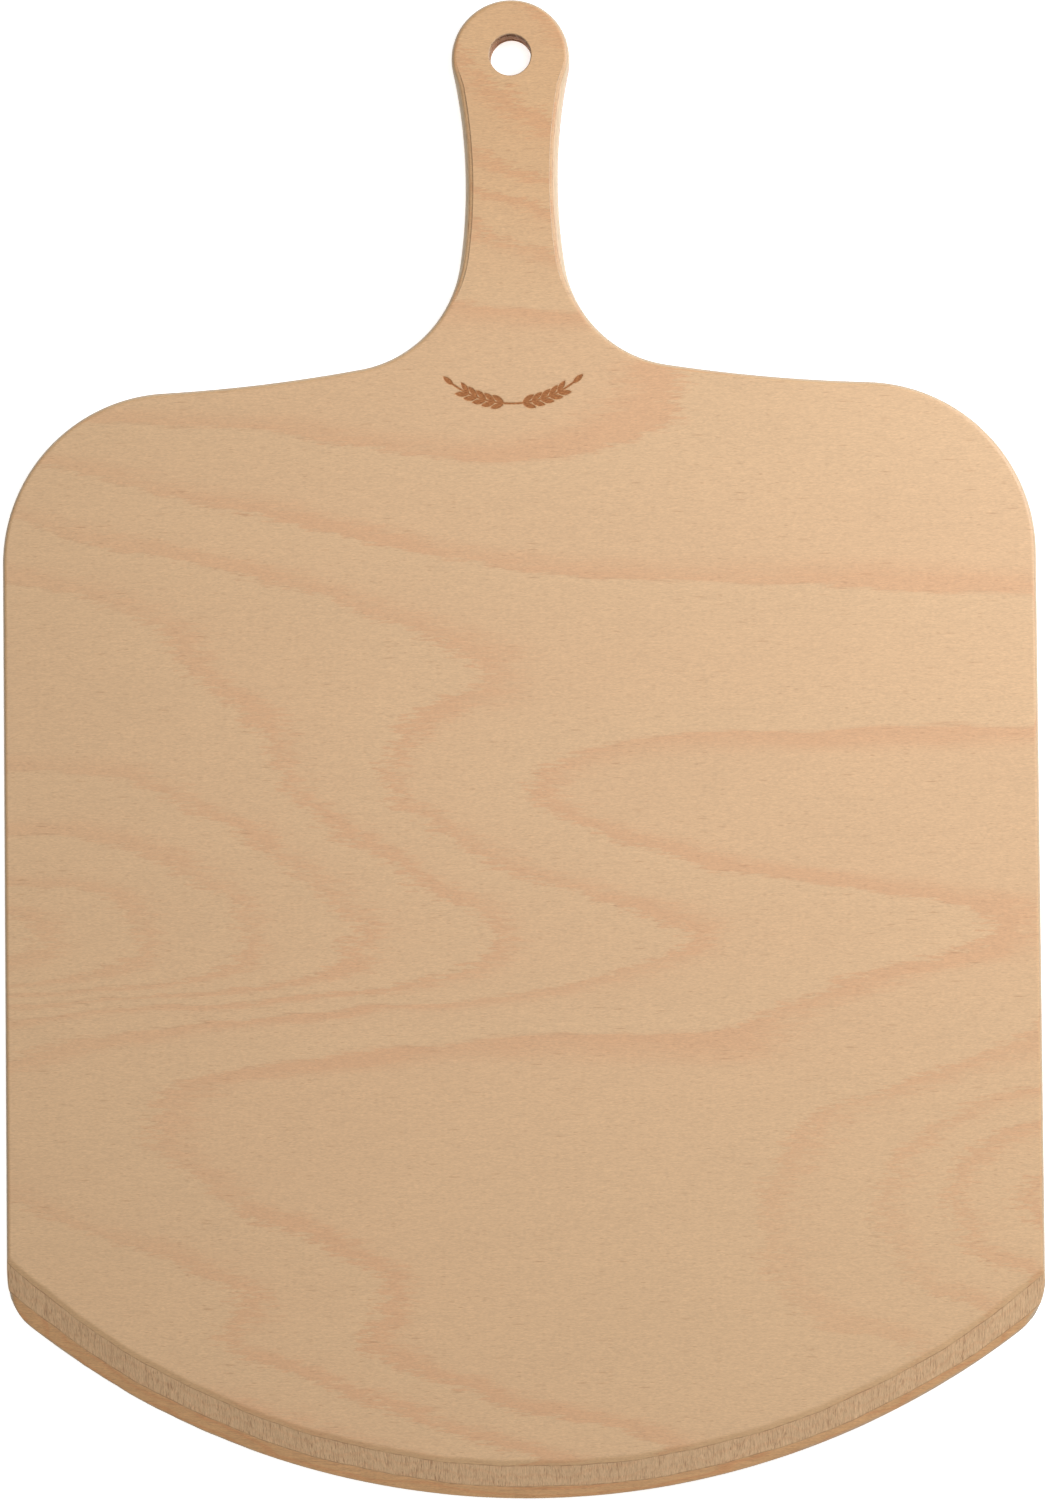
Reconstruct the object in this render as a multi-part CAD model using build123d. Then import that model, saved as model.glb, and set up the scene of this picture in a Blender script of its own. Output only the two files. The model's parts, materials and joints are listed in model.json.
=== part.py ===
from build123d import *
import math
import os

# A flat wooden pizza peel of five-ply beech plywood: a broad blade with a short round-ended handle.
# It lies on its back on z = 0. The handle points to +Y and the bevelled front edge to -Y, and the
# origin is at the middle of its length and width. Millimetres and degrees.

# Overall size
length = 507.0
width = 350.0
end_radius = 20.0  # round end of the handle
grip_width = 31.3  # handle at its narrowest

# Outline arcs, from the grip down to the front edge
grip_radius = 186.0
throat_radius = 41.0  # where the handle spreads into the blade
shoulder_radius = 550.0
shoulder_slope = 2.4  # fall of the shoulder where it meets the blade's corner
corner_radius = 58.0
side_length = 243.5
front_corner_radius = 22.0
front_radius = 274.5

# Lay-up, from the back to the face
veneer = 0.55
cross_ply = 2.3
core_ply = 2.9
glue_film = 0.1
layup = [
    ("back_veneer", veneer),
    ("back_glue_film", glue_film),
    ("lower_cross_ply", cross_ply),
    ("lower_core_glue_film", glue_film),
    ("core_ply", core_ply),
    ("upper_core_glue_film", glue_film),
    ("upper_cross_ply", cross_ply),
    ("face_glue_film", glue_film),
    ("face_veneer", veneer),
]
thickness = sum(ply for name, ply in layup)

# Rounded edges: lightly sanded all round, and routed deeper along both sides of the grip
edge_round = 1.8
grip_round = 2.8
round_steps = 6  # steps that a rounded edge is built from
run_in_up = 8.0  # angle on the round end where the deeper rounding starts
run_in_down = 2.0  # angle along the grip over which it reaches its depth
run_out_up = 1.4  # angle along the grip where it starts to fade
run_out_down = 20.0  # angle into the throat where it has faded out

# Front bevel, a shallow cone cut slightly off centre, so that it is widest on the left
bevel_angle = 18.0
nose_thickness = 4.6
bevel_shift = 2.2

# Hanging hole
hole_radius = 7.0
hole_from_end = 19.0
hole_edge_break = 0.3

# Engraved mark below the handle: two wheat ears that curve up to either side from crossed stems
mark_y = 116.0  # lowest point of the curve that the ears follow
mark_depth = 0.2
ear_curve_radius = 34.0
ear_from = 9.0  # angles along that curve
ear_to = 35.0
ear_grains = 5
grain_length = 4.6
grain_width = 1.7
grain_tilt = 24.0
grain_offset = 1.25
stem_width = 0.6
stem_past_middle = 5.0  # angle by which each stem runs on past the other
stem_to = 38.0  # angle at which it meets the end grain

clear = 1.0  # how far a cutter reaches past what it cuts


def polar(centre, radius, angle):
    """Point at that radius and angle from centre."""
    return centre + Vector(radius, 0).rotate(Axis.Z, angle)


def angle_from(centre, point):
    """Angle of point seen from centre."""
    return math.degrees(math.atan2(point.Y - centre.Y, point.X - centre.X))


def meeting_point(first, first_radius, second, second_radius):
    """Where two circles cross, on the left of the way from the first centre to the second."""
    along = second - first
    reach = (first_radius**2 - second_radius**2 + along.length**2) / (2 * along.length)
    aside = math.sqrt(first_radius**2 - reach**2)
    unit = along.normalized()
    return first + unit * reach + unit.rotate(Axis.Z, 90) * aside


# Arc centres of the right-hand half of the outline, each arc tangent to the next
half_width = width / 2
end_centre = Vector(0, length / 2 - end_radius)
grip_centre_x = grip_width / 2 + grip_radius
grip_fall = math.sqrt((end_radius + grip_radius) ** 2 - grip_centre_x**2)
grip_centre = Vector(grip_centre_x, end_centre.Y - grip_fall)
front_centre = Vector(0, front_radius - length / 2)
front_corner_x = half_width - front_corner_radius
front_corner_rise = math.sqrt((front_radius - front_corner_radius) ** 2 - front_corner_x**2)
front_corner = Vector(front_corner_x, front_centre.Y - front_corner_rise)
corner_centre = Vector(half_width - corner_radius, front_corner.Y + side_length)
shoulder_centre = polar(corner_centre, corner_radius + shoulder_radius, 90 - shoulder_slope)
throat_centre = meeting_point(
    grip_centre, grip_radius - throat_radius, shoulder_centre, shoulder_radius - throat_radius
)


def arc(centre, radius, start, end):
    """Circular arc between two angles."""
    return Edge.make_circle(
        radius,
        Plane((centre.X, centre.Y, 0)),
        start_angle=min(start, end),
        end_angle=max(start, end),
    )


def outline_half(edge_inset, grip_inset):
    """Right-hand half of the outline, drawn in from the edge by edge_inset, or grip_inset at the grip."""
    end_arc_to = angle_from(end_centre, grip_centre) + run_in_up
    grip_from = angle_from(grip_centre, end_centre) % 360 + run_in_down
    grip_to = angle_from(grip_centre, throat_centre) % 360 - run_out_up
    throat_from = angle_from(grip_centre, throat_centre) % 360 + run_out_down
    throat_to = angle_from(shoulder_centre, throat_centre) % 360
    shoulder_to = 270 - shoulder_slope
    front_angle = angle_from(front_centre, front_corner)

    end_arc = arc(end_centre, end_radius - edge_inset, 90, end_arc_to)
    grip = arc(grip_centre, grip_radius + grip_inset, grip_from, grip_to)
    throat = arc(throat_centre, throat_radius + edge_inset, throat_from, throat_to)
    shoulder = arc(shoulder_centre, shoulder_radius + edge_inset, throat_to, shoulder_to)
    corner = arc(corner_centre, corner_radius - edge_inset, 90 - shoulder_slope, 0)
    side_x = half_width - edge_inset
    side = Edge.make_line((side_x, corner_centre.Y), (side_x, front_corner.Y))
    front_turn = arc(front_corner, front_corner_radius - edge_inset, 0, front_angle)
    front = arc(front_centre, front_radius - edge_inset, front_angle, -90)

    run_in = blend(
        polar(end_centre, end_radius - edge_inset, end_arc_to),
        end_arc_to - 90,
        polar(grip_centre, grip_radius + grip_inset, grip_from),
        grip_from + 90,
    )
    run_out = blend(
        polar(grip_centre, grip_radius + grip_inset, grip_to),
        grip_to + 90,
        polar(throat_centre, throat_radius + edge_inset, throat_from),
        throat_from + 90,
    )
    return [end_arc, run_in, grip, run_out, throat, shoulder, corner, side, front_turn, front]


def blend(start, start_heading, end, end_heading):
    """Smooth curve that leaves start and reaches end along the two headings."""
    tangents = [polar(Vector(0, 0), 1, start_heading), polar(Vector(0, 0), 1, end_heading)]
    return Edge.make_spline([start, end], tangents=tangents)


def outline(z):
    """Whole outline of the peel at height z."""
    depth = min(z, thickness - z)
    half = outline_half(inset(edge_round, depth), inset(grip_round, depth))
    other_half = [edge.mirror(Plane.YZ) for edge in half]
    return Wire.combine(half + other_half)[0].moved(Location((0, 0, z)))


def inset(radius, depth):
    """How far a rounded edge is drawn in, at that depth below the surface that it rounds."""
    rest = max(radius - depth, 0)
    return radius - math.sqrt(radius**2 - rest**2)


def levels(bottom, top):
    """Heights of a ply's sections: its two faces, and the steps of the rounded edges between them."""
    steps = [grip_round * (1 - math.cos(math.pi / 2 * k / round_steps)) for k in range(round_steps + 1)]
    heights = steps + [thickness - step for step in steps]
    between = [z for z in heights if bottom < z < top]
    return [bottom] + sorted(between) + [top]


def make_blank(bottom, top):
    """One layer of the peel between two heights, with its part of the rounded edges."""
    return Solid.make_loft([outline(z) for z in levels(bottom, top)], ruled=True)


def make_bevel_cutter():
    """Ring above the front bevel: a cone falling towards the front edge."""
    inner = front_radius - (thickness - nose_thickness) / math.tan(math.radians(bevel_angle))
    outer = front_radius + end_radius
    lift = clear * math.tan(math.radians(bevel_angle))
    outer_z = nose_thickness - (outer - front_radius) * math.tan(math.radians(bevel_angle))
    profile = Wire.make_polygon(
        [
            (inner - clear, 0, thickness + lift),
            (outer, 0, outer_z),
            (outer, 0, thickness + lift),
        ],
        close=True,
    )
    axis_place = Location((bevel_shift, front_centre.Y, 0))
    ring = Solid.revolve(Face(profile), 180, Axis.Z).rotate(Axis.Z, 180)
    return ring.moved(axis_place)


def make_hole_cutter():
    """The hanging hole, with a small edge break at each end."""
    wide = hole_radius + hole_edge_break + clear
    profile = Wire.make_polygon(
        [
            (0, 0, -clear),
            (wide, 0, -clear),
            (hole_radius, 0, hole_edge_break),
            (hole_radius, 0, thickness - hole_edge_break),
            (wide, 0, thickness + clear),
            (0, 0, thickness + clear),
        ],
        close=True,
    )
    return Solid.revolve(Face(profile), 360, Axis.Z).moved(Location((0, length / 2 - hole_from_end, 0)))


def make_grain(centre, heading):
    """Cutter for one grain of wheat, a pointed oval along heading."""
    tips = [polar(centre, grain_length / 2, heading + turn) for turn in (0, 180)]
    flanks = [polar(centre, grain_width / 2, heading + turn) for turn in (90, -90)]
    arcs = [Edge.make_three_point_arc(tips[0], flank, tips[1]) for flank in flanks]
    return engrave(Wire.combine(arcs)[0])


def make_stem(curve_centre):
    """Cutter for the stem of the right-hand ear."""
    start = -90 - stem_past_middle
    end = -90 + stem_to
    inner = ear_curve_radius - stem_width / 2
    outer = ear_curve_radius + stem_width / 2
    sides = [arc(curve_centre, radius, start, end) for radius in (inner, outer)]
    ends = [
        Edge.make_line(polar(curve_centre, inner, angle), polar(curve_centre, outer, angle))
        for angle in (start, end)
    ]
    return engrave(Wire.combine(sides + ends)[0])


def engrave(line):
    """Pocket cutter inside a closed line, reaching the engraving's depth below the face."""
    floor = Face(line).moved(Location((0, 0, thickness - mark_depth)))
    return Solid.extrude(floor, Vector(0, 0, mark_depth + clear))


def make_mark_cutters():
    """The engraved mark: stem, paired grains and end grain of each ear."""
    curve_centre = Vector(0, mark_y + ear_curve_radius)
    cutters = [make_stem(curve_centre)]
    step = (ear_to - ear_from) / ear_grains
    for pair in range(ear_grains):
        angle = -90 + ear_from + step * pair
        for side in (-1, 1):
            centre = polar(curve_centre, ear_curve_radius + side * grain_offset, angle)
            cutters.append(make_grain(centre, angle + 90 - side * grain_tilt))
    cutters.append(make_grain(polar(curve_centre, ear_curve_radius, ear_to - 90 + step), ear_to + step))
    return cutters + [cutter.mirror(Plane.YZ) for cutter in cutters]


edge_cutters = [make_bevel_cutter(), make_hole_cutter()]
os.makedirs("parts", exist_ok=True)
bottom = 0.0
for name, ply in layup:
    layer = make_blank(bottom, bottom + ply)
    cutters = edge_cutters + (make_mark_cutters() if name == "face_veneer" else [])
    export_step(layer.cut(*cutters), f"parts/{name}.step")
    bottom += ply
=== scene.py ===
import bpy
import json
import math
import numpy as np
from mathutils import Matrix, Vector
from mathutils.geometry import delaunay_2d_cdt


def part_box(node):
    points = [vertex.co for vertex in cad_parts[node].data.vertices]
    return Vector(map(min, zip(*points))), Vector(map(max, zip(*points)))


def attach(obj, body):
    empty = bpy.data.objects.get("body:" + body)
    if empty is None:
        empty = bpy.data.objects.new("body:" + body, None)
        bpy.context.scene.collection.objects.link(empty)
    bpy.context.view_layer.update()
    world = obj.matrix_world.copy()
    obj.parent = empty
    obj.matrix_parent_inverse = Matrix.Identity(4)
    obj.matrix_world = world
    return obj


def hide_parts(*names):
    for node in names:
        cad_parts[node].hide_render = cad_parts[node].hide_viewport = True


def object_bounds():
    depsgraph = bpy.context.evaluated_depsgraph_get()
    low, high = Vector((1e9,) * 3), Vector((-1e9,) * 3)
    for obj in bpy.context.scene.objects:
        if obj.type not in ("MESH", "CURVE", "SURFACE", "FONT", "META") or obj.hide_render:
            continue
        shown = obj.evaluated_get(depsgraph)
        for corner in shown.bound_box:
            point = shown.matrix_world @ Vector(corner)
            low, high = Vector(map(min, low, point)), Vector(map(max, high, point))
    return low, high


# The looks of a five-ply beech pizza peel. Its nine layers are rebuilt as fine meshes on the same
# arcs as the CAD, each with its own wood or glue. Shapes are worked out in millimetres.

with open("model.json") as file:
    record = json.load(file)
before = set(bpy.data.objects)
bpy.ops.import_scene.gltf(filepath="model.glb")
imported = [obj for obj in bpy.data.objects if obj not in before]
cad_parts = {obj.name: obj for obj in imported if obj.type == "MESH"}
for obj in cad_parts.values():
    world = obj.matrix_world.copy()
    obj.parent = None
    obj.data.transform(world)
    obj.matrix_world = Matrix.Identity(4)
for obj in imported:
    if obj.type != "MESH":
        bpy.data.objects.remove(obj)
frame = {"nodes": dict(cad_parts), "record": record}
cad_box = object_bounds()
MM = 0.001
rng = np.random.default_rng(7)

# Sizes read from the CAD frame
low, high = (np.array(corner) / MM for corner in cad_box)
width, thickness = high[0] - low[0], high[2]
length = 2 * high[1]
mounts = {mount["name"]: mount for mount in frame["record"]["mounts"]}
hole_centre = np.array(mounts["hanging_hole"]["pos_m"][:2]) / MM
hole_radius = mounts["hanging_hole"]["dims"]["r_mm"]

# Outline arcs, as in the CAD
end_radius = 20.0
grip_width = 31.3
grip_radius = 186.0
throat_radius = 41.0
shoulder_radius = 550.0
shoulder_slope = 2.4
corner_radius = 58.0
side_length = 243.5
front_corner_radius = 22.0
front_radius = 274.5
front_centre = np.array([0, front_radius - length / 2])
outline_step = 1.0

# Edges: how far each is rounded, and where the grip's deeper rounding comes and goes
edge_round = 1.8
grip_round = 2.8
grip_step = 0.35  # small step that the router left where it rounded the grip
run_in = (-2.8, 6.5)  # distances from where the round end meets the grip
run_out = (-4.5, 14.3)  # distances from where the grip meets the throat

# Front bevel
bevel_degrees = 18
bevel_angle = math.radians(bevel_degrees)
nose_thickness = 4.6
bevel_shift = 2.2
bevel_centre = front_centre + np.array([bevel_shift, 0])
bevel_crest_round = 4.0  # softening where the bevel leaves the face
nose_softening = 0.15
bevel_ripples = [(61, 0.16, 0.3), (23, 0.09, 0.7), (9.5, 0.05, 0.1), (3.7, 0.02, 0.9)]  # length, size, start

# Heights at which a layer has a section: the steps of each rounding, given by its radius, its turn
# and their number, and those around the height where the bevel ends
rounding_turns = [(edge_round, 90, 8), (grip_round, 90, 14), (bevel_crest_round, bevel_degrees, 6)]
fine_steps = 22  # sections of the two edge roundings that are repeated below the grip's step
nose_steps = (-0.3, -0.1, 0.0, 0.1, 0.3, 0.7)
level_gap = 0.01  # the least that two sections lie apart

# Hanging hole: a softened edge, and short tears where the drill met the ends of the fibres
hole_edge_round = 0.35
hole_steps = 200
hole_level_step = 0.12
tears_per_height = 14  # tears for each millimetre of the wall's height
crosswise_tears_per_height = 50
tear_spread = 30.0  # angle by which tears scatter around the ends of the fibres
tear_size = (0.12, 0.42)
tear_depth = (0.15, 0.7)
thinnest_torn = 0.2  # a layer thinner than this isn't torn
torn_fade = 0.3  # tears shrink away within this distance of the face and back
hole_wall_shade = 0.6  # how far the hole's wall is darkened: painted shade inside the hole, in the mark's burnt colours

# Engraved mark, as in the CAD, with softened walls and a scorched halo
mark_y = 116.0
mark_depth = 0.2
ear_curve_radius = 34.0
ear_from = 9.0
ear_to = 35.0
ear_grains = 5
grain_length = 4.6
grain_width = 1.7
grain_tilt = 24.0
grain_offset = 1.25
stem_width = 0.6
stem_past_middle = 5.0
stem_to = 38.0
mark_reach = 27.0
mark_below = 4.0
mark_above = 18.0
mark_grid = 0.16
wall_softness = 0.09
halo_reach = 0.22
halo_strength = 0.3

# Growth rings of the face: at each height up the face, the level at its left and right sides,
# and how far and how sharply it falls between them
figure_rows = [
    (-260, 3.8, -0.5, 230, 2.6),
    (-236, 2.9, -0.75, 192, 2.6),
    (-216, 2.2, -0.8, 141, 2.7),
    (-201, 1.7, -0.8, 116, 2.3),
    (-188, 1.8, -0.8, 122, 2.4),
    (-153, 1.0, -0.75, 85, 1.4),
    (-126, 0.45, -0.65, 95, 1.0),
    (-106, 1.0, -0.35, 70, 1.0),
    (-90, 2.2, -1.2, 210, 1.1),
    (-78, 5.1, -0.7, 175, 1.5),
    (-65, 6.3, -0.9, 182, 1.18),
    (-40, 4.6, -0.35, 151, 2.2),
    (-17, 3.45, -0.45, 134, 2.5),
    (0, 2.8, -0.12, 135, 3.0),
    (20, 2.85, 0.25, 138, 1.46),
    (50, 2.35, -0.06, 133, 1.45),
    (75, 1.25, -0.5, 95, 1.1),
    (97, 0.15, -0.88, 75, 1.2),
    (122, -1.38, -0.7, 241, 4.0),
    (150, -1.35, -0.65, 190, 2.0),
    (172, -2.0, 1.2, 175, 4.0),
    (187, -1.0, 2.2, 175, 4.0),
    (197, 0.0, 3.2, 175, 4.0),
    (219, 1.3, 3.9, 175, 4.0),
    (255, 1.8, 5.0, 175, 4.0),
]
# Single hollows and knots in that figure: middle, height and reach each way
figure_spots = [
    (185, -152, -3.5, 64, 41),
    (85, -95, 0.3, 70, 14),
    (5, 68, -0.25, 65, 16),
    (-20, 97, -0.2, 60, 14),
    (118, -206, 0.35, 14, 9),
]
back_scale = (0.9, -0.8)  # the back's figure is the face's, stretched and moved by these
back_shift = (12, -40)
pale_side = 0.55  # strength of the rings at the left side of the face
pale_until = -50.0  # and where they reach their full strength
pale_patch = (100, -185, 60, 0.5)  # centre, reach and weakening of a patch with fainter rings
ring_spacing = 2.2  # thickness of a year's wood through the veneer
slope_step = 0.5  # distance over which the figure's slopes are measured

face_grid_step = 3.0  # spacing of the vertices inside the face and the back
joined_within = 1e-7  # points closer than this are one point


# ---------------------------------------------------------------- outline

def polar(centre, radius, angle):
    """Points at that radius and those angles, in degrees, from centre."""
    a = np.radians(angle)
    return np.stack([centre[0] + radius * np.cos(a), centre[1] + radius * np.sin(a)], -1)


def angle_from(centre, point):
    """Angle of point seen from centre, in degrees from 0 to 360."""
    return math.degrees(math.atan2(point[1] - centre[1], point[0] - centre[0])) % 360


def meeting_point(first, first_radius, second, second_radius):
    """Where two circles cross, on the left of the way from the first centre to the second."""
    along = second - first
    gap = np.hypot(*along)
    reach = (first_radius**2 - second_radius**2 + gap**2) / (2 * gap)
    aside = math.sqrt(first_radius**2 - reach**2)
    unit = along / gap
    return first + unit * reach + np.array([-unit[1], unit[0]]) * aside


def arc(centre, radius, start, end, hollow=False):
    """Points along an arc, without its last, and the outward directions there."""
    steps = math.ceil(math.radians(abs(end - start)) * radius / outline_step)
    angles = np.linspace(start, end, steps, endpoint=False)
    outward = polar((0, 0), -1 if hollow else 1, angles)
    return polar(centre, radius, angles), outward


def straight_side(top_y, bottom_y):
    """Points down the blade's right-hand side, without the last, and the outward directions there."""
    steps = math.ceil(side_length / outline_step)
    side_y = np.linspace(top_y, bottom_y, steps, endpoint=False)
    side = np.stack([np.full(steps, width / 2), side_y], -1)
    return side, np.tile([1.0, 0.0], (steps, 1))


def right_half():
    """The right-hand half of the outline, from the end of the handle to the nose."""
    end = np.array([0, length / 2 - end_radius])
    grip_x = grip_width / 2 + grip_radius
    grip = np.array([grip_x, end[1] - math.sqrt((end_radius + grip_radius) ** 2 - grip_x**2)])
    turn_x = width / 2 - front_corner_radius
    turn_rise = math.sqrt((front_radius - front_corner_radius) ** 2 - turn_x**2)
    turn = np.array([turn_x, front_centre[1] - turn_rise])
    corner = np.array([width / 2 - corner_radius, turn[1] + side_length])
    shoulder = polar(corner, corner_radius + shoulder_radius, 90 - shoulder_slope)
    throat = meeting_point(
        grip, grip_radius - throat_radius, shoulder, shoulder_radius - throat_radius
    )
    return [
        arc(end, end_radius, 90, angle_from(end, grip) - 360),
        arc(grip, grip_radius, angle_from(grip, end), angle_from(grip, throat), True),
        arc(throat, throat_radius, angle_from(grip, throat), angle_from(shoulder, throat), True),
        arc(shoulder, shoulder_radius, angle_from(shoulder, throat), 270 - shoulder_slope, True),
        arc(corner, corner_radius, 90 - shoulder_slope, 0),
        straight_side(corner[1], turn[1]),
        arc(turn, front_corner_radius, 0, angle_from(front_centre, turn) - 360),
        arc(front_centre, front_radius, angle_from(front_centre, turn) - 360, -90),
    ]


def smooth(value, start, end):
    """0 before start, 1 after end, and a smooth rise between them."""
    t = np.clip((value - start) / (end - start), 0, 1)
    return t * t * (3 - 2 * t)


def grip_share(pieces, points):
    """How far each point has the grip's deeper rounding, from 0 to 1."""
    steps = np.hypot(*np.diff(points, axis=0).T)
    travelled = np.concatenate([[0], np.cumsum(steps)])
    grip_start = travelled[len(pieces[0][0])]
    grip_end = travelled[len(pieces[0][0]) + len(pieces[1][0])]
    share = smooth(travelled, grip_start + run_in[0], grip_start + run_in[1])
    return share * (1 - smooth(travelled, grip_end + run_out[0], grip_end + run_out[1]))


def make_outline():
    """Points clockwise from the handle's end, with the outward direction, rounding and step at each."""
    pieces = right_half()
    points = np.concatenate([piece[0] for piece in pieces])
    outward = np.concatenate([piece[1] for piece in pieces])
    gripped = grip_share(pieces, points)
    rounding = edge_round + (grip_round - edge_round) * gripped
    stepped = grip_step * gripped
    nose = np.array([[0, -length / 2]])
    mirror = np.array([-1, 1])
    points = np.concatenate([points, nose, points[:0:-1] * mirror])
    outward = np.concatenate([outward, [[0, -1]], outward[:0:-1] * mirror])
    rounding = np.concatenate([rounding, [edge_round], rounding[:0:-1]])
    stepped = np.concatenate([stepped, [0], stepped[:0:-1]])
    return points, outward, rounding, stepped


points, outward, rounding, stepped = make_outline()


# ---------------------------------------------------------------- surfaces

def ripple(travel, z):
    """Slight waviness of the hand-sanded bevel, in millimetres across its slope."""
    total = 0
    for wavelength, size, phase in bevel_ripples:
        total = total + size * np.sin(2 * math.pi * (travel / wavelength + phase) + z * phase)
    return total


def bevel_reach(z, travel):
    """Radius of the bevel's cone at height z, softened where it leaves the face."""
    slope = math.tan(bevel_angle)
    crest = front_radius - (thickness - nose_thickness) / slope
    drop = np.clip(thickness - z, 0, None)
    turned = np.arccos(np.clip(1 - drop / bevel_crest_round, math.cos(bevel_angle), 1))
    soft = crest + bevel_crest_round * (np.sin(turned) - math.tan(bevel_angle / 2))
    straight = crest + drop / slope
    full_drop = bevel_crest_round * (1 - math.cos(bevel_angle))
    return np.where(drop < full_drop, soft, straight) + ripple(travel, z)


def ring(z):
    """Section of the peel's outer surface at height z."""
    depth = np.minimum(z, thickness - z)
    rest = np.clip(rounding - np.clip(depth - stepped, 0, None), 0, rounding)
    inset = rounding - np.sqrt(rounding**2 - rest**2)
    section = points - outward * inset[:, None]
    spoke = section - bevel_centre
    radius = np.hypot(*spoke.T)
    travel = np.arctan2(spoke[:, 0], -spoke[:, 1]) * front_radius
    reach = bevel_reach(z, travel)
    cut = (radius + reach - np.sqrt((radius - reach) ** 2 + nose_softening**2)) / 2
    section = bevel_centre + spoke * (cut / radius)[:, None]
    return np.column_stack([section, np.broadcast_to(z, len(section))])


def hole_ring(z, torn):
    """Section of the hole's wall at height z, with grain torn out of it, and how deep the tears are."""
    angle = np.linspace(0, 360, hole_steps, endpoint=False)
    depth = min(z, thickness - z)
    rest = max(hole_edge_round - depth, 0)
    widened = hole_edge_round - math.sqrt(hole_edge_round**2 - rest**2)
    tear = np.zeros(hole_steps)
    for at_angle, at_z, size, deep in torn:
        along = (angle - at_angle + 180) % 360 - 180
        along = np.radians(along) * hole_radius
        tear = np.maximum(tear, deep * np.exp(-((along / size) ** 2) - ((z - at_z) / size) ** 2))
    tear *= smooth(depth, 0, torn_fade)
    section = polar(hole_centre, (hole_radius + widened + tear)[:, None], angle[:, None])
    section = section.reshape(-1, 2)
    return np.column_stack([section, np.full(hole_steps, z)]), tear


def tears(bottom, top, crosswise):
    """Tears in the hole's wall between two heights: angle, height, size and depth of each."""
    if top - bottom <= thinnest_torn:
        return []
    count = round((top - bottom) * (crosswise_tears_per_height if crosswise else tears_per_height))
    side = rng.choice([90, -90] if crosswise else [0, 180], count)
    angle = side + rng.normal(0, tear_spread, count)
    z = rng.uniform(bottom, top, count)
    size = rng.uniform(*tear_size, count)
    deep = rng.uniform(*tear_depth, count)
    return list(zip(angle, z, size, deep))


def inside(flat, polygon):
    """Which of the flat points lie inside a closed polygon."""
    result = np.zeros(len(flat), bool)
    x, y = flat.T
    for (x0, y0), (x1, y1) in zip(polygon, np.roll(polygon, -1, 0)):
        crosses = (y0 > y) != (y1 > y)
        if crosses.any():
            slope_x = x0 + (y[crosses] - y0) * (x1 - x0) / (y1 - y0)
            result[crosses] ^= x[crosses] < slope_x
    return result


def grid_inside(outer, openings, spacing):
    """Points of a square grid that lie inside a closed outline and outside its openings."""
    low_corner, high_corner = outer.min(0), outer.max(0)
    lines = [np.arange(start, end, spacing) for start, end in zip(low_corner, high_corner)]
    grid = np.stack(np.meshgrid(*lines), -1).reshape(-1, 2)
    grid = grid[inside(grid, outer)]
    for opening in openings:
        grid = grid[~inside(grid, opening)]
    return grid


def fill(outer, openings, spacing):
    """Triangles that fill a closed outline around its openings, and any points added inside it."""
    loops = [outer] + openings
    added = grid_inside(outer, openings, spacing) if spacing else np.empty((0, 2))
    edges = []
    first = 0
    for loop in loops:
        edges += [(first + i, first + (i + 1) % len(loop)) for i in range(len(loop))]
        first += len(loop)
    everything = np.concatenate(loops + [added])
    inside_only = 1
    corners = [Vector(p) for p in everything]
    found = delaunay_2d_cdt(corners, edges, [], inside_only, joined_within)
    origin = [source[0] for source in found[3]]
    triangles = np.array([[origin[v] for v in face] for face in found[2]])
    middles = everything[triangles].mean(1)
    keep = np.ones(len(triangles), bool)
    for opening in openings:
        keep &= ~inside(middles, opening)
    return triangles[keep], added


# ---------------------------------------------------------------- engraved mark

def grain_distance(x, y, centre, heading):
    """How far points lie outside a pointed oval wheat grain; negative inside it."""
    turn = math.radians(heading)
    dx, dy = x - centre[0], y - centre[1]
    along = dx * math.cos(turn) + dy * math.sin(turn)
    across = dy * math.cos(turn) - dx * math.sin(turn)
    bulge = grain_width / 2
    flank = (grain_length**2 / 4 + bulge**2) / (2 * bulge)
    return np.hypot(along, np.abs(across) + flank - bulge) - flank


def ear_distance(x, y):
    """How far points lie outside the right-hand wheat ear and its stem."""
    centre = np.array([0, mark_y + ear_curve_radius])
    radius = np.hypot(x - centre[0], y - centre[1])
    angle = np.degrees(np.arctan2(x - centre[0], centre[1] - y))
    beyond = np.radians(np.maximum(angle - stem_to, -stem_past_middle - angle)) * ear_curve_radius
    distance = np.maximum(np.abs(radius - ear_curve_radius) - stem_width / 2, beyond)
    step = (ear_to - ear_from) / ear_grains
    for pair in range(ear_grains):
        turn = ear_from + step * pair
        for side in (-1, 1):
            middle = polar(centre, ear_curve_radius + side * grain_offset, turn - 90)
            grain = grain_distance(x, y, middle, turn - side * grain_tilt)
            distance = np.minimum(distance, grain)
    tip = polar(centre, ear_curve_radius, ear_to - 90 + step)
    return np.minimum(distance, grain_distance(x, y, tip, ear_to + step))


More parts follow.
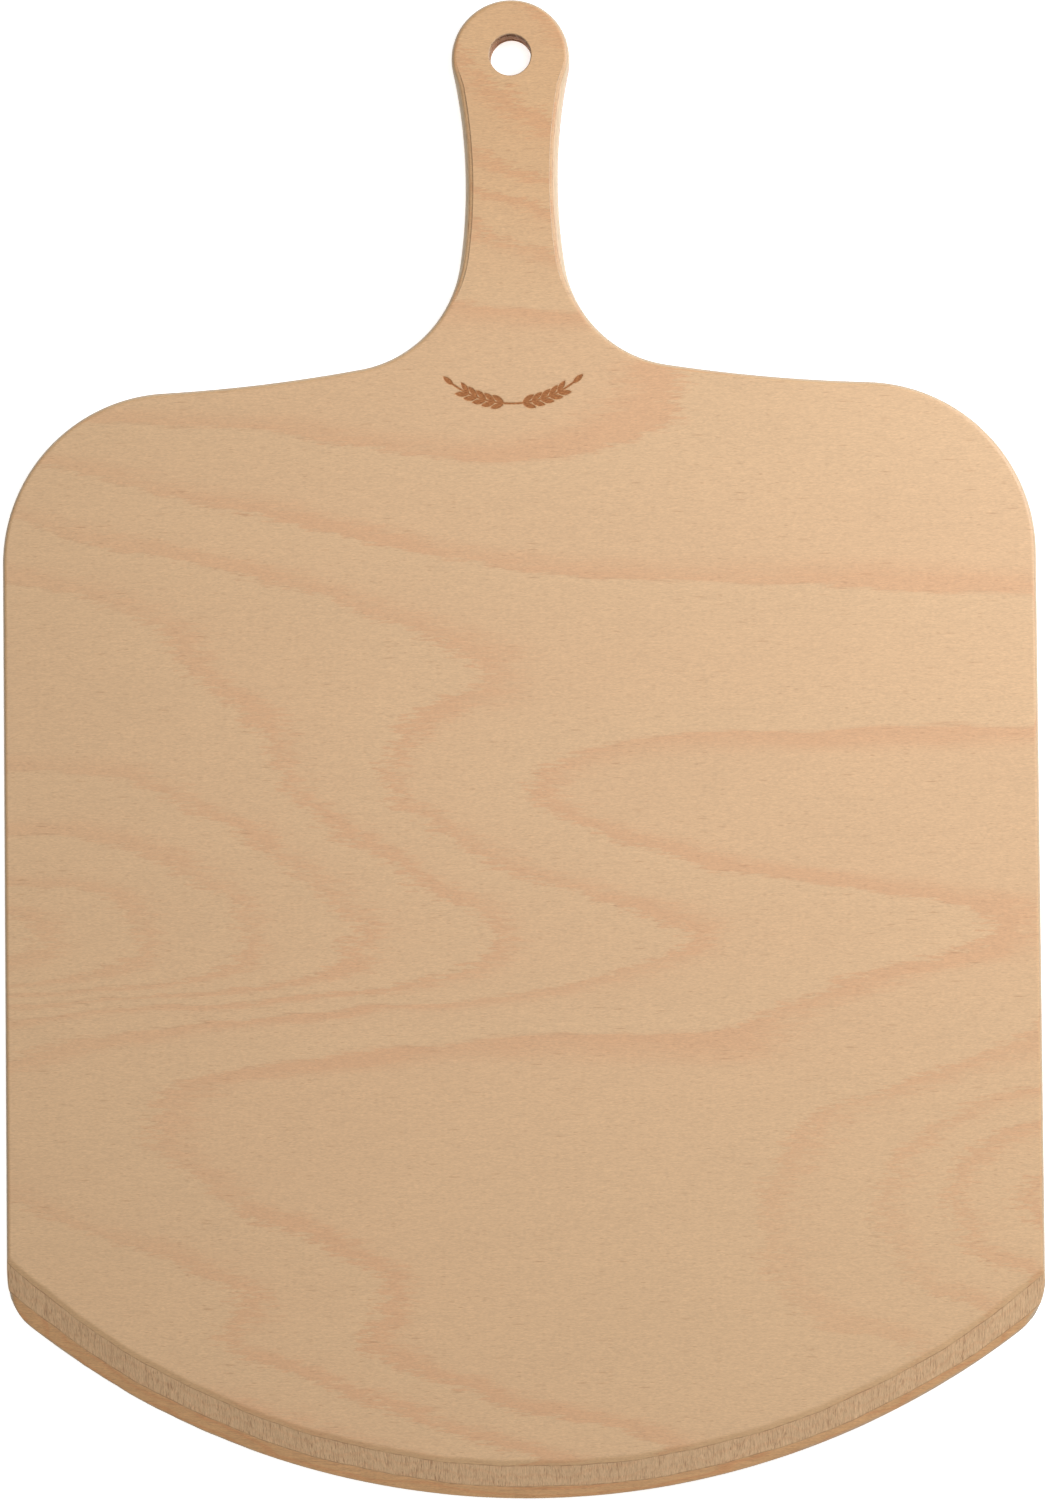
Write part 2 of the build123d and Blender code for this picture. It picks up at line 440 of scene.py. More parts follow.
def engraved_patch():
    """A fine grid over the mark: its vertices, quads, outer loop and how far each vertex is scorched."""
    x_line = np.arange(-mark_reach, mark_reach + mark_grid / 2, mark_grid)
    y_line = np.arange(mark_y - mark_below, mark_y + mark_above, mark_grid)
    x, y = np.meshgrid(x_line, y_line)
    distance = np.minimum(ear_distance(x, y), ear_distance(-x, y))
    sunk = 1 - smooth(distance, -wall_softness, wall_softness)
    scorch = np.maximum(sunk, halo_strength * np.exp(-np.clip(distance, 0, None) / halo_reach))
    index = np.arange(x.size).reshape(x.shape)
    vertices = np.column_stack([x.ravel(), y.ravel(), (thickness - mark_depth * sunk).ravel()])
    quads = [index[:-1, :-1], index[:-1, 1:], index[1:, 1:], index[1:, :-1]]
    quads = np.stack(quads, -1).reshape(-1, 4)
    loop = [index[0, :-1], index[:-1, -1], index[-1, :0:-1], index[:0:-1, 0]]
    return vertices, quads, np.concatenate(loop), scorch.ravel()


# ---------------------------------------------------------------- growth rings

def row_level(row, along):
    """Ring level by one row of the figure, at those distances from the left side."""
    height, left, right, fall, power = row
    return right + (left - right) * np.exp(-((along / fall) ** power))


def figure(x, y):
    """Growth-ring level over the face: its whole numbers are the edges of the late wood."""
    rows = np.array(figure_rows)
    row_y = rows[:, 0]
    along = np.clip(x + width / 2, 0, None)
    levels = np.array([row_level(row, along) for row in rows])
    slopes = np.gradient(levels, row_y, axis=0)
    low_row = np.clip(np.searchsorted(row_y, y) - 1, 0, len(rows) - 2)
    each = np.arange(len(x))
    gap = row_y[low_row + 1] - row_y[low_row]
    t = np.clip((y - row_y[low_row]) / gap, 0, 1)
    start, end = levels[low_row, each], levels[low_row + 1, each]
    start_slope, end_slope = slopes[low_row, each] * gap, slopes[low_row + 1, each] * gap
    level = start * (1 + 2 * t) * (1 - t) ** 2 + end * t * t * (3 - 2 * t)
    level += start_slope * t * (1 - t) ** 2 - end_slope * t * t * (1 - t)
    for middle_x, middle_y, height, reach_x, reach_y in figure_spots:
        level += height * np.exp(-(((x - middle_x) / reach_x) ** 2) - ((y - middle_y) / reach_y) ** 2)
    return level


def veneer_figure(node, x, y):
    """Growth-ring level of a veneer."""
    if node == "face_veneer":
        return figure(x, y)
    return figure(back_scale[0] * x + back_shift[0], back_scale[1] * y + back_shift[1])


def figure_with_slopes(node, x, y):
    """The level, and how much it rises for each millimetre along X and along Y."""
    along = veneer_figure(node, x + slope_step, y) - veneer_figure(node, x - slope_step, y)
    up = veneer_figure(node, x, y + slope_step) - veneer_figure(node, x, y - slope_step)
    across_step = 2 * slope_step
    return np.column_stack([veneer_figure(node, x, y), along / across_step, up / across_step])


def ring_depth(x, y):
    """How strongly the rings of a veneer show: weaker at its left side and in one pale patch."""
    from_left = pale_side + (1 - pale_side) * smooth(x, -width / 2, pale_until)
    patch_x, patch_y, reach, weaker = pale_patch
    return from_left * (1 - weaker * np.exp(-((x - patch_x) ** 2 + (y - patch_y) ** 2) / reach**2))


# ---------------------------------------------------------------- layers

class Shell:
    """Vertices and faces of a layer as they are gathered, with the tears at each vertex, and the mark's
    scorching and the painted shade of the hole's wall.
    """

    def __init__(self):
        self.vertices = np.empty((0, 3))
        self.tear = np.empty(0)
        self.scorch = np.empty(0)
        self.faces = []

    def add(self, vertices, tear=0.0, scorch=0.0):
        """Adds vertices and gives their numbers."""
        first, count = len(self.vertices), len(vertices)
        self.vertices = np.concatenate([self.vertices, vertices])
        self.tear = np.concatenate([self.tear, np.broadcast_to(tear, count)])
        self.scorch = np.concatenate([self.scorch, np.broadcast_to(scorch, count)])
        return first + np.arange(count)

    def add_wall(self, rings, outwards):
        """Adds quads between rings of vertices, each given by its vertices' numbers."""
        here, above = np.array(rings[:-1]), np.array(rings[1:])
        onward, above_onward = np.roll(here, -1, 1), np.roll(above, -1, 1)
        corners = [here, onward, above_onward, above]
        if outwards:
            corners = [here, above, above_onward, onward]
        self.faces += np.stack(corners, -1).reshape(-1, 4).tolist()

    def add_cap(self, loops, z, upwards, spacing):
        """Closes the layer at height z, between its outline and the openings in it."""
        outer, *openings = [self.vertices[loop, :2] for loop in loops]
        triangles, added = fill(outer, openings, spacing)
        added = self.add(np.column_stack([added, np.full(len(added), z)]))
        triangles = np.concatenate(loops + [added])[triangles]
        self.faces += (triangles if upwards else triangles[:, ::-1]).tolist()


def levels_between(bottom, top):
    """Heights of a layer's sections: its two faces and the steps of the rounded edges between them."""
    steps = []
    for radius, turn, count in rounding_turns:
        angles = np.radians(np.linspace(0, turn, count + 1))
        steps += list(radius * (1 - np.cos(angles)))
    steps += [grip_step + step for step in steps[:fine_steps]]
    heights = steps + [thickness - step for step in steps] + [nose_thickness + z for z in nose_steps]
    chosen = [bottom]
    for z in sorted(heights):
        if z > chosen[-1] + level_gap and z < top - level_gap:
            chosen.append(z)
    return chosen + [top]


def add_bore(shell, bottom, top, torn):
    """Adds the hole's wall and gives the numbers of its lowest and highest vertices."""
    rings = []
    for z in np.linspace(bottom, top, max(2, math.ceil((top - bottom) / hole_level_step))):
        section, tear = hole_ring(z, torn)
        # painted shade on the hole's wall, carried in the same channel as the mark's scorching
        painted_hole_shade = hole_wall_shade * smooth(min(z, thickness - z), 0, torn_fade)
        rings.append(shell.add(section, tear, painted_hole_shade))
    shell.add_wall(rings, False)
    return rings[0], rings[-1]


def add_engraving(shell):
    """Adds the engraved patch and gives the numbers of the vertices around it."""
    patch, quads, loop, scorch = engraved_patch()
    numbers = shell.add(patch, scorch=scorch)
    shell.faces += numbers[quads].tolist()
    return numbers[loop]


def make_mesh(node, bottom, top, crosswise):
    """A layer of the peel as a closed fine mesh."""
    shell = Shell()
    rings = [shell.add(ring(z)) for z in levels_between(bottom, top)]
    shell.add_wall(rings, True)
    bottom_bore, top_bore = add_bore(shell, bottom, top, tears(bottom, top, crosswise))
    top_loops = [rings[-1], top_bore]
    if node == "face_veneer":
        top_loops.append(add_engraving(shell))
    curved = len(shell.faces)
    shell.add_cap([rings[0], bottom_bore], bottom, False, face_grid_step if node == "back_veneer" else None)
    shell.add_cap(top_loops, top, True, face_grid_step if node == "face_veneer" else None)

    mesh = bpy.data.meshes.new(node + "_layer")
    mesh.from_pydata((shell.vertices * MM).tolist(), [], shell.faces)
    shade_walls(mesh, curved)
    store(mesh, "tear", shell.tear)
    store(mesh, "scorch", shell.scorch)
    if "veneer" in node:
        store_figure(mesh, node, shell.vertices, top if node == "face_veneer" else bottom)
    return mesh


def shade_walls(mesh, curved):
    """Shades the first faces, the curved ones, smooth and keeps their shading apart from the flat caps'."""
    is_smooth = np.arange(len(mesh.polygons)) < curved
    mesh.polygons.foreach_set("use_smooth", is_smooth)
    corner_counts = np.empty(len(mesh.polygons), int)
    mesh.polygons.foreach_get("loop_total", corner_counts)
    corner_edges = np.empty(len(mesh.loops), int)
    mesh.loops.foreach_get("edge_index", corner_edges)
    smooth_corner = np.repeat(is_smooth, corner_counts)
    beside_wall, beside_cap = np.zeros((2, len(mesh.edges)), bool)
    beside_wall[corner_edges[smooth_corner]] = True
    beside_cap[corner_edges[~smooth_corner]] = True
    mesh.edges.foreach_set("use_edge_sharp", beside_wall & beside_cap)


def store(mesh, name, values):
    """Keeps one number per vertex for the material to read."""
    mesh.attributes.new(name, "FLOAT", "POINT").data.foreach_set("value", values.astype(np.float32))


def store_figure(mesh, node, vertices, shown_z):
    """Keeps a veneer's ring level with its slopes, and how strongly the rings show, for the material."""
    x, y, z = vertices.T
    ring_levels = figure_with_slopes(node, x, y)
    ring_levels[:, 0] += (z - shown_z) / ring_spacing
    held = mesh.attributes.new("ring", "FLOAT_VECTOR", "POINT")
    held.data.foreach_set("vector", ring_levels.ravel().astype(np.float32))
    store(mesh, "ring_depth", ring_depth(x, y))


def make_layer(node, crosswise, material):
    """A layer of the peel that stands for its CAD node."""
    bottom, top = (corner[2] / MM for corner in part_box(node))
    mesh = make_mesh(node, bottom, top, crosswise)
    mesh.materials.append(material)
    layer = bpy.data.objects.new(node + "_layer", mesh)
    bpy.context.scene.collection.objects.link(layer)
    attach(layer, "root")
    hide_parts(node)


# ---------------------------------------------------------------- materials

seed_shift = 31.7  # distance between the patterns of one piece and the next


class Graph:
    """A material whose nodes are added one expression at a time."""

    def __init__(self, name):
        self.material = bpy.data.materials.new(name)
        self.material.use_nodes = True
        self.tree = self.material.node_tree
        self.shader = self.tree.nodes["Principled BSDF"]

    def put(self, socket, value):
        """Links a socket to a value, or sets it where the value is plain."""
        if isinstance(value, bpy.types.NodeSocket):
            self.tree.links.new(value, socket)
        else:
            socket.default_value = value

    def look(self, **values):
        """Puts values on the shader's sockets; a name's underscores stand for spaces."""
        for name, value in values.items():
            self.put(self.shader.inputs[name.replace("_", " ")], value)

    def node(self, kind, inputs, output=0, **settings):
        """Adds a shader node and gives one of its outputs."""
        made = self.tree.nodes.new("ShaderNode" + kind)
        for key, value in settings.items():
            setattr(made, key, value)
        for key, value in inputs.items():
            self.put(made.inputs[key], value)
        return made.outputs[output]

    def math(self, operation, *values, clamp=False):
        return self.node("Math", dict(enumerate(values)), operation=operation, use_clamp=clamp)

    def rise(self, value, start, end):
        """0 at start, 1 at end, and a smooth rise between them."""
        inputs = {"Value": value, "From Min": start, "From Max": end}
        return self.node("MapRange", inputs, interpolation_type="SMOOTHSTEP")

    def between(self, share, start, end):
        """From start to end as the share goes from 0 to 1."""
        return self.math("MULTIPLY_ADD", share, end - start, start)

    def varied(self, pattern, amount):
        """Around 1, more or less of it where the pattern is strong or weak."""
        return self.math("MULTIPLY_ADD", pattern, amount, 1 - amount / 2)

    def noise(self, place, detail=2.0, roughness=0.5):
        inputs = {"Vector": place, "Scale": 1.0, "Detail": detail, "Roughness": roughness}
        return self.node("TexNoise", inputs, output="Fac")

    def pattern(self, place, sizes, detail=2.0):
        """Noise whose features have about those sizes, in millimetres."""
        return self.noise(self.stretched(place, sizes), detail)

    def mix(self, factor, first, second, blend="MIX"):
        inputs = {"Fac": factor, "Color1": first, "Color2": second}
        return self.node("MixRGB", inputs, blend_type=blend)

    def stored(self, name, output="Fac"):
        """What the mesh holds under that name."""
        return self.node("Attribute", {}, output=output, attribute_name=name)

    def parts(self, vector):
        """Its three components."""
        return list(self.node("SeparateXYZ", {"Vector": vector}).node.outputs)

    def coordinates(self, kind):
        return self.node("TexCoord", {}, output=kind)

    def millimetres(self, seed):
        """Places on the piece in millimetres, shifted by the seed so that no two pieces match."""
        inputs = {0: self.coordinates("Object"), 1: (1 / MM,) * 3, 2: (seed * seed_shift,) * 3}
        return self.node("VectorMath", inputs, operation="MULTIPLY_ADD")

    def stretched(self, place, sizes):
        """Coordinates in which a feature of those sizes, in millimetres, is about one unit long."""
        return self.node("VectorMath", {0: place, 1: [1 / size for size in sizes]}, operation="MULTIPLY")

    def bump(self, depth, height):
        """Normals of a fine relief of that depth, in millimetres."""
        return self.node("Bump", {"Strength": 1.0, "Distance": depth * MM, "Height": height})


def tinted(colour, tint):
    """That colour with each channel scaled."""
    return tuple(channel * scale for channel, scale in zip(colour, tint)) + (1,)


# The patterns of the wood: sizes along its fibres, across them and through the board
sway_sizes = (45, 16, 9)
sway_reach = 3.0  # how far the fibres sway sideways
fibre_sizes = (1.05, 0.19, 0.4)
strand_sizes = (14, 1.1, 2.5)
patch_sizes = (60, 26, 12)
streak_sizes = (4.5, 0.3, 0.8)
short_ray_sizes = (2.8, 0.4, 1.6)
long_ray_sizes = (7.0, 0.62, 2.4)
long_ray_share = 1 / 3  # of the share of short ones
ray_edge = (0.45, 0.1)
fine_pore_sizes = (5.5, 0.24, 2.0)
fine_pores_show = (0.52, 0.7)  # from what strength of their pattern on pores show, and where fully
fine_pore_shade = 0.5
coarse_pore_sizes = (3.6, 0.36, 1.4)
coarse_pores_show = (0.6, 0.7)
coarse_pore_shade = 0.8
pore_crowd_sizes = (30, 7, 9)
pore_crowds_show = (0.3, 0.7)
dot_sizes = (1.5, 0.16, 0.22)


class Grain:
    """The patterns of one piece of wood, whose own X runs along the fibres."""

    def __init__(self, g, timber, seed):
        self.place = g.millimetres(seed)
        self.normal = g.coordinates("Normal")
        if timber.crosswise:
            self.place = g.node("VectorRotate", {"Vector": self.place, "Angle": math.pi / 2})
            self.normal = g.node("VectorRotate", {"Vector": self.normal, "Angle": math.pi / 2})
        sway = g.math("MULTIPLY", g.pattern(self.place, sway_sizes), sway_reach)
        swayed = {0: self.place, 1: g.node("CombineXYZ", {"Y": sway})}
        self.fibres = g.node("VectorMath", swayed, operation="ADD")
        self.fibre = g.pattern(self.fibres, fibre_sizes, 1.0)
        self.strand = g.pattern(self.fibres, strand_sizes)
        self.streak = g.pattern(self.fibres, streak_sizes, 1.0)
        self.patch = g.pattern(self.place, patch_sizes)
        self.ray = self.make_rays(g, timber)

    def make_rays(self, g, timber):
        """Ray flecks of both lengths, and open pores where the ply is cut across."""
        short = ray_flecks(g, self.fibres, short_ray_sizes, timber.ray_size, timber.ray_share)
        share = timber.ray_share * long_ray_share
        rays = g.math("MAXIMUM", short, ray_flecks(g, self.fibres, long_ray_sizes, timber.ray_size, share))
        if timber.crosswise:
            rays = g.math("MAXIMUM", rays, open_pores(g, self.fibres))
        return rays


def ray_flecks(g, fibres, sizes, scale, kept):
    """Short dark dashes along the fibres, of about those sizes; only the share kept of them shows."""
    long, wide, deep = sizes
    place = g.stretched(fibres, (long * scale, wide * scale, deep))
    cells = g.node("TexVoronoi", {"Vector": place, "Scale": 1.0}).node
    pick = g.node("SeparateColor", {"Color": cells.outputs["Color"]}, output="Red")
    return g.math("MULTIPLY", g.rise(cells.outputs["Distance"], *ray_edge), g.rise(pick, 1 - kept, 1.0))


def open_pores(g, fibres):
    """Long, dense, dark scratches along the fibres, where a cut across the ply opens them."""
    fine = g.rise(g.pattern(fibres, fine_pore_sizes, 1.0), *fine_pores_show)
    coarse = g.rise(g.pattern(fibres, coarse_pore_sizes, 1.0), *coarse_pores_show)
    crowded = g.rise(g.pattern(fibres, pore_crowd_sizes, 1.0), *pore_crowds_show)
    crowds = g.math("MULTIPLY", coarse, crowded)
    fine = g.math("MULTIPLY", fine, fine_pore_shade)
    return g.math("MULTIPLY_ADD", crowds, coarse_pore_shade, fine, clamp=True)


# Feathering of a veneer's rings: sizes of each pattern of it, and how far that moves a ring
feathers_along = [((3.2, 0.42, 0.8), 19), ((10, 1.2, 2), 22), ((40, 9, 9), 14)]
feathers_up = [((12, 0.6, 1), 2.2), ((34, 12, 9), 5)]
edge_width = 6.0  # width of the feathered edge of a ring, in millimetres
edge_share = (0.10, 0.45)  # least and most of a ring's width that the edge takes
line_width = (0.9, 0.1)  # the hairline past a ring's edge fades between these distances
line_strands = (0.42, 0.62)  # it shows only in the stronger strands
gentlest_line = 0.008  # and where the figure rises less than this, it grows no wider

# Rings of an inner ply
wave_sizes = (90, 16, 30)
wave_rings = 5.0
rings_inward = 0.8
feather_sizes = (2.6, 0.26, 0.6)
feather_rings = 0.25
inner_edge_share = 0.4

# Shade of the late wood through a year: a slow darkening, a dark end and a trace just past it
slow_shade = 0.25
trace_width = (0.14, 0.0)
trace_shade = 0.45
strand_shade = (0.15, 1.05)  # of the dark end, in the weakest and the strongest strands
patch_shade = 0.7
patches_show = (0.36, 0.64)


def figured_rings(g, grain):
    """Growth-ring level of a veneer, feathered along its fibres, and how steeply the level rises."""
    level, along, up = g.parts(g.stored("ring", "Vector"))
    for slope, feathers in ((along, feathers_along), (up, feathers_up)):
        for sizes, reach in feathers:
            shift = g.math("MULTIPLY_ADD", g.pattern(grain.fibres, sizes, 1.0), reach, -reach / 2)
            level = g.math("MULTIPLY_ADD", shift, slope, level)
    slopes = g.node("CombineXYZ", {"X": along, "Y": up})
    return level, g.node("VectorMath", {0: slopes}, "Value", operation="LENGTH")


def inner_rings(g, grain):
    """Growth-ring level of an inner ply, which is seen only in its edges."""
    waves = g.pattern(grain.place, wave_sizes)
    feather = g.pattern(grain.fibres, feather_sizes, 1.0)
    inward = g.math("MULTIPLY", g.parts(grain.place)[2], rings_inward)
    level = g.math("MULTIPLY_ADD", waves, wave_rings, inward)
    return g.math("MULTIPLY_ADD", feather, feather_rings, level)


def late_wood(g, grain, season, band):
    """How far each place lies in late wood, from 0 to 1, with an edge of that width where a ring ends."""
    before = g.math("DIVIDE", g.math("SUBTRACT", 1.0, season), band)
    after = g.math("DIVIDE", season, band)
    edge = g.math("MULTIPLY_ADD", g.rise(after, *trace_width), trace_shade, g.rise(before, 1.0, 0.0))
    stranded = g.between(grain.strand, *strand_shade)
    uneven = g.math("MULTIPLY_ADD", g.rise(grain.patch, *patches_show), patch_shade, stranded)
    return g.math("MULTIPLY_ADD", season, slow_shade, g.math("MULTIPLY", edge, uneven), clamp=True)


def season_shade(g, grain, timber):
    """The shade of the late wood, and of the dark hairline just past each ring of a veneer."""
    if not timber.figured:
        season = g.math("FRACT", inner_rings(g, grain))
        return late_wood(g, grain, season, inner_edge_share), None
    level, steepness = figured_rings(g, grain)
    season = g.math("FRACT", level)
    least, most = edge_share
    band = g.math("MINIMUM", g.math("MULTIPLY_ADD", steepness, edge_width, least), most)
    shade = g.math("MULTIPLY", late_wood(g, grain, season, band), g.stored("ring_depth"))
    past_edge = g.math("DIVIDE", season, g.math("MAXIMUM", steepness, gentlest_line))
    line = g.math("MULTIPLY", g.rise(past_edge, *line_width), g.rise(grain.strand, *line_strands))
    return shade, line


# Shades and tints of the wood's own colour
fibre_contrast = 0.5
late_tint = (0.975, 0.865, 0.825)
line_tint = (0.58, 0.43, 0.36)
ray_tint = (0.42, 0.27, 0.18)
line_strength = 0.32
end_tints = ((0.36, 0.25, 0.18, 1), (0.74, 0.64, 0.55, 1))  # pores and solid wood of the end grain
end_grain_turn = (0.3, 0.95)  # how far the surface turns across the fibres before end grain shows
end_pores_show = (0.3, 0.7)

# Wear and painted sheen of the edges, scorching, and painted shade in the hole and its torn fibres
handled_from, handled_to = 120.0, 215.0  # along the length, where hands have darkened the wood
handled_patches = 0.4  # how unevenly
handled_tint = (0.95, 0.90, 0.83, 1)
worn_and_sheen_wood = (0.51, 0.425, 0.30, 1)  # pale, dry wood where the edges are rounded, with painted sheen: a whitish highlight laid into the colour
worn_sheen_from = (0.94, 0.72)  # upward part of the surface's direction as the pale edge wood and its painted sheen start
worn_sheen_to = (0.0, 0.3)  # and as it ends
worn_sheen_share = (0.38, 0.88)  # in the weakest and the strongest strands
# near-black colour of the tear pits: torn fibres with painted shade in the pits
torn_and_pit_shade_wood = (0.05, 0.02, 0.008, 1)
pit_shade_depths = (0.01, 0.2)
burnt_and_shaded_wood = ((0.20, 0.065, 0.02, 1), (0.42, 0.17, 0.06, 1))  # the mark's burnt colours, also used as painted shade on the hole's wall: weakest and strongest fibres
burnt_and_shaded_fibres = (0.25, 0.75)
char_dulls = 2.0  # a half-scorched surface has already lost its shine, and so has the hole's wall with its painted shade

# Shine and relief
specular = 0.5
dull_specular = 0.1
sheen = 0.35
sheen_roughness = 0.3
wood_roughness = (0.44, 0.54)
ray_roughness = 0.08
wood_relief = 0.008
ray_relief = -0.8


def fibre_colour(g, grain, timber):
    """Wood with its growth rings, the light and dark of its fibres, and its rays."""
    late, line = season_shade(g, grain, timber)
    late = g.math("MULTIPLY", late, timber.ring_contrast, clamp=True)
    colour = g.mix(late, timber.colour, tinted(timber.colour, late_tint))
    shade = g.varied(grain.fibre, fibre_contrast)
    for pattern, amount in zip((grain.streak, grain.strand, grain.patch), timber.unevenness):
        shade = g.math("MULTIPLY", shade, g.varied(pattern, amount))
    grey = g.node("CombineXYZ", {"X": shade, "Y": shade, "Z": shade})
    colour = g.mix(1.0, colour, grey, "MULTIPLY")
    rays = g.math("MULTIPLY", grain.ray, timber.ray_depth)
    colour = g.mix(rays, colour, tinted(timber.colour, ray_tint))
    if timber.figured:
        lines = g.math("MULTIPLY", line, line_strength)
        colour = g.mix(lines, colour, tinted(timber.colour, line_tint))
    return colour


def end_grain_colour(g, grain, colour):
    """End grain, where the surface turns across the fibres."""
    across = g.rise(g.math("ABSOLUTE", g.parts(grain.normal)[0]), *end_grain_turn)
    ends = g.mix(g.rise(g.pattern(grain.place, dot_sizes), *end_pores_show), *end_tints)
    return g.mix(across, colour, g.mix(1.0, colour, ends, "MULTIPLY"))


def used_and_sheen_colour(g, grain, colour):
    """A handle darkened by hands, and pale wood on the rounded edges: dry, worn wood with painted sheen laid
    on it.
    """
    along = g.parts(g.coordinates("Object"))[1]
    handled = g.rise(along, handled_from * MM, handled_to * MM)
    handled = g.math("MULTIPLY", handled, g.varied(grain.patch, handled_patches))
    colour = g.mix(handled, colour, g.mix(1.0, colour, handled_tint, "MULTIPLY"))
    # Paler, greyer colour on the rounded edges: worn, dry wood plus painted sheen
    upright = g.math("ABSOLUTE", g.parts(grain.normal)[2])
    worn_and_sheen = g.math("MULTIPLY", g.rise(upright, *worn_sheen_from), g.rise(upright, *worn_sheen_to))
    worn_and_sheen = g.math("MULTIPLY", worn_and_sheen, g.between(grain.strand, *worn_sheen_share))
    return g.mix(worn_and_sheen, colour, worn_and_sheen_wood)


def make_wood(name, timber, seed):
    """Beech as the tools and hands left it, with painted sheen on its rounded edges and painted shade in the
    hole and its tear pits.
    """
    g = Graph(name)
    grain = Grain(g, timber, seed)
    colour = end_grain_colour(g, grain, fibre_colour(g, grain, timber))
    # the tear pits painted dark: torn fibres, and painted shade in the pits
    torn = g.rise(g.stored("tear"), *pit_shade_depths)
    colour = g.mix(torn, used_and_sheen_colour(g, grain, colour), torn_and_pit_shade_wood)
    # the mark's scorching, and the painted shade on the hole's wall
    scorch = g.stored("scorch")
    colour = g.mix(scorch, colour, g.mix(g.rise(grain.fibre, *burnt_and_shaded_fibres), *burnt_and_shaded_wood))
    dull = g.math("MAXIMUM", g.math("MULTIPLY", scorch, char_dulls, clamp=True), torn)
    rough = g.between(grain.fibre, *wood_roughness)
    g.look(
        Base_Color=colour,
        Specular_IOR_Level=g.between(dull, specular, dull_specular),
        Sheen_Weight=g.between(dull, sheen, 0.0),
        Sheen_Roughness=sheen_roughness,
        Roughness=g.math("MULTIPLY_ADD", grain.ray, ray_roughness, rough),
        Normal=g.bump(wood_relief, g.math("MULTIPLY_ADD", grain.ray, ray_relief, grain.fibre)),
    )
    return g.material


# The glue's patterns, in millimetres, and its colours
soak_sizes = (2.5, 2.5, 1)
glue_fleck_sizes = (0.4, 0.4, 0.4)
soak_shows = (0.35, 0.65)
glue_colours = ((0.38, 0.21, 0.10, 1), (0.55, 0.35, 0.18, 1))
glue_fleck_colour = (0.20, 0.11, 0.06, 1)
glue_fleck_share = 0.3
glue_roughness = (0.5, 0.7)
glue_relief = 0.01


def make_glue(name, seed):
    """Cured resin glue line, dark and matt, soaked unevenly into the wood."""
    g = Graph(name)
    place = g.millimetres(seed)
    soak = g.noise(g.stretched(place, soak_sizes), 3.0, 0.6)
    fleck = g.pattern(place, glue_fleck_sizes)
    colour = g.mix(g.rise(soak, *soak_shows), *glue_colours)
    g.look(
        Base_Color=g.mix(g.math("MULTIPLY", fleck, glue_fleck_share), colour, glue_fleck_colour),
        Roughness=g.between(soak, *glue_roughness),
        Normal=g.bump(glue_relief, fleck),
    )
    return g.material


# ---------------------------------------------------------------- kinds of layer

class Timber:
    """The wood of one kind of layer."""

    def __init__(self, colour, ring_contrast, rays, figured=False, crosswise=False):
        self.colour = colour
        self.ring_contrast = ring_contrast
        self.ray_depth, self.ray_share, self.ray_size = rays
        self.figured = figured
        self.crosswise = crosswise
        self.unevenness = (0.2, 0.06, 0.06) if figured else (0.4, 0.2, 0.06)  # of streaks, strands, patches


veneer = Timber((0.562, 0.357, 0.190, 1), 1.0, (0.34, 0.2, 1.0), figured=True)
cross_ply = Timber((0.60, 0.395, 0.225, 1), 0.5, (0.8, 0.4, 0.9), crosswise=True)
core_ply = Timber((0.565, 0.325, 0.155, 1), 1.2, (0.35, 0.5, 1.0))

for number, node in enumerate(sorted(frame["nodes"])):
    look = node + "_look"
    if "glue" in node:
        make_layer(node, False, make_glue(look, number))
    elif "veneer" in node:
        make_layer(node, False, make_wood(look, veneer, number))
    elif "cross" in node:
        make_layer(node, True, make_wood(look, cross_ply, number))
    else:
        make_layer(node, False, make_wood(look, core_ply, number))


# ---------------------------------------------------------------- studio

floor_reach = 4
floor_gap = 0.0002  # between the peel's back and the floor
floor_glow = 0.55
surround = 0.85  # brightness of the surround


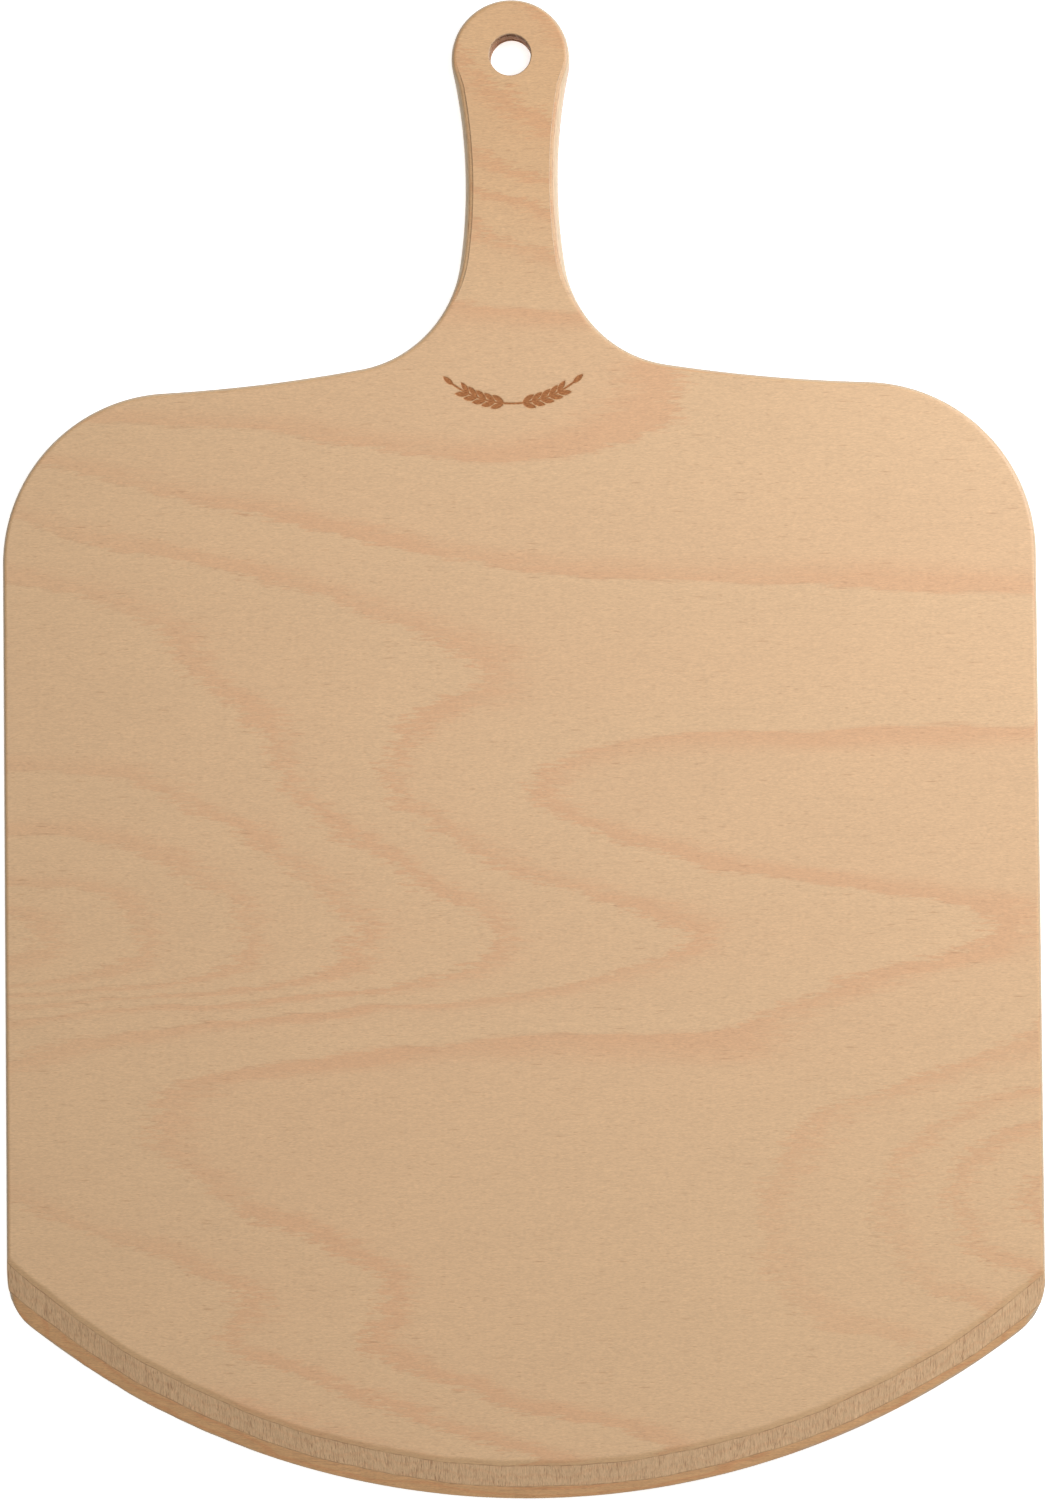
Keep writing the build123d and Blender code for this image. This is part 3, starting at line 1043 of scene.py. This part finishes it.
def make_camera():
    """The camera above the peel, a little to the right of its middle."""
    data = bpy.data.cameras.new("camera")
    data.sensor_width = 36
    data.lens = 67.5
    data.clip_start = 0.01
    data.clip_end = 100
    camera = bpy.data.objects.new("camera", data)
    bpy.context.scene.collection.objects.link(camera)
    camera.location = (50.6 * MM, -19.2 * MM, 956 * MM)
    camera.rotation_euler = [math.radians(a) for a in (1.06, 2.91, -0.52)]
    bpy.context.scene.camera = camera


def make_light(name, location, size, power, colour):
    """A round soft light that faces the middle of the peel."""
    data = bpy.data.lights.new(name, "AREA")
    data.shape = "DISK"
    data.size = size
    data.energy = power
    data.color = colour
    light = bpy.data.objects.new(name, data)
    bpy.context.scene.collection.objects.link(light)
    light.location = location
    light.rotation_euler = (-Vector(location)).to_track_quat("-Z", "Y").to_euler()


def make_floor():
    """A plain pale floor just under the peel."""
    mesh = bpy.data.meshes.new("floor")
    corners = [(-1, -1), (1, -1), (1, 1), (-1, 1)]
    vertices = [(x * floor_reach, y * floor_reach, -floor_gap) for x, y in corners]
    mesh.from_pydata(vertices, [], [(0, 1, 2, 3)])
    floor = bpy.data.objects.new("floor", mesh)
    bpy.context.scene.collection.objects.link(floor)
    g = Graph("floor_paint")
    g.look(
        Base_Color=(0.9, 0.9, 0.9, 1),
        Roughness=0.9,
        Emission_Color=(1, 1, 1, 1),
        Emission_Strength=floor_glow,
    )
    mesh.materials.append(g.material)


def make_world():
    """A pale surround that the camera sees but that lights nothing."""
    world = bpy.data.worlds.new("studio")
    bpy.context.scene.world = world
    world.use_nodes = True
    background = world.node_tree.nodes["Background"]
    background.inputs["Color"].default_value = (1, 1, 1, 1)
    background.inputs["Strength"].default_value = surround
    world.cycles_visibility.diffuse = False
    world.cycles_visibility.glossy = False


make_camera()
make_floor()
make_light("softbox", (0, 0, 2.2), 2.4, 36.8, (1.0, 0.985, 0.95))
make_light("key", (0.75, 0.41, 0.66), 0.5, 11.1, (0.96, 1.0, 1.08))
make_world()
bpy.context.scene.view_settings.view_transform = "Standard"
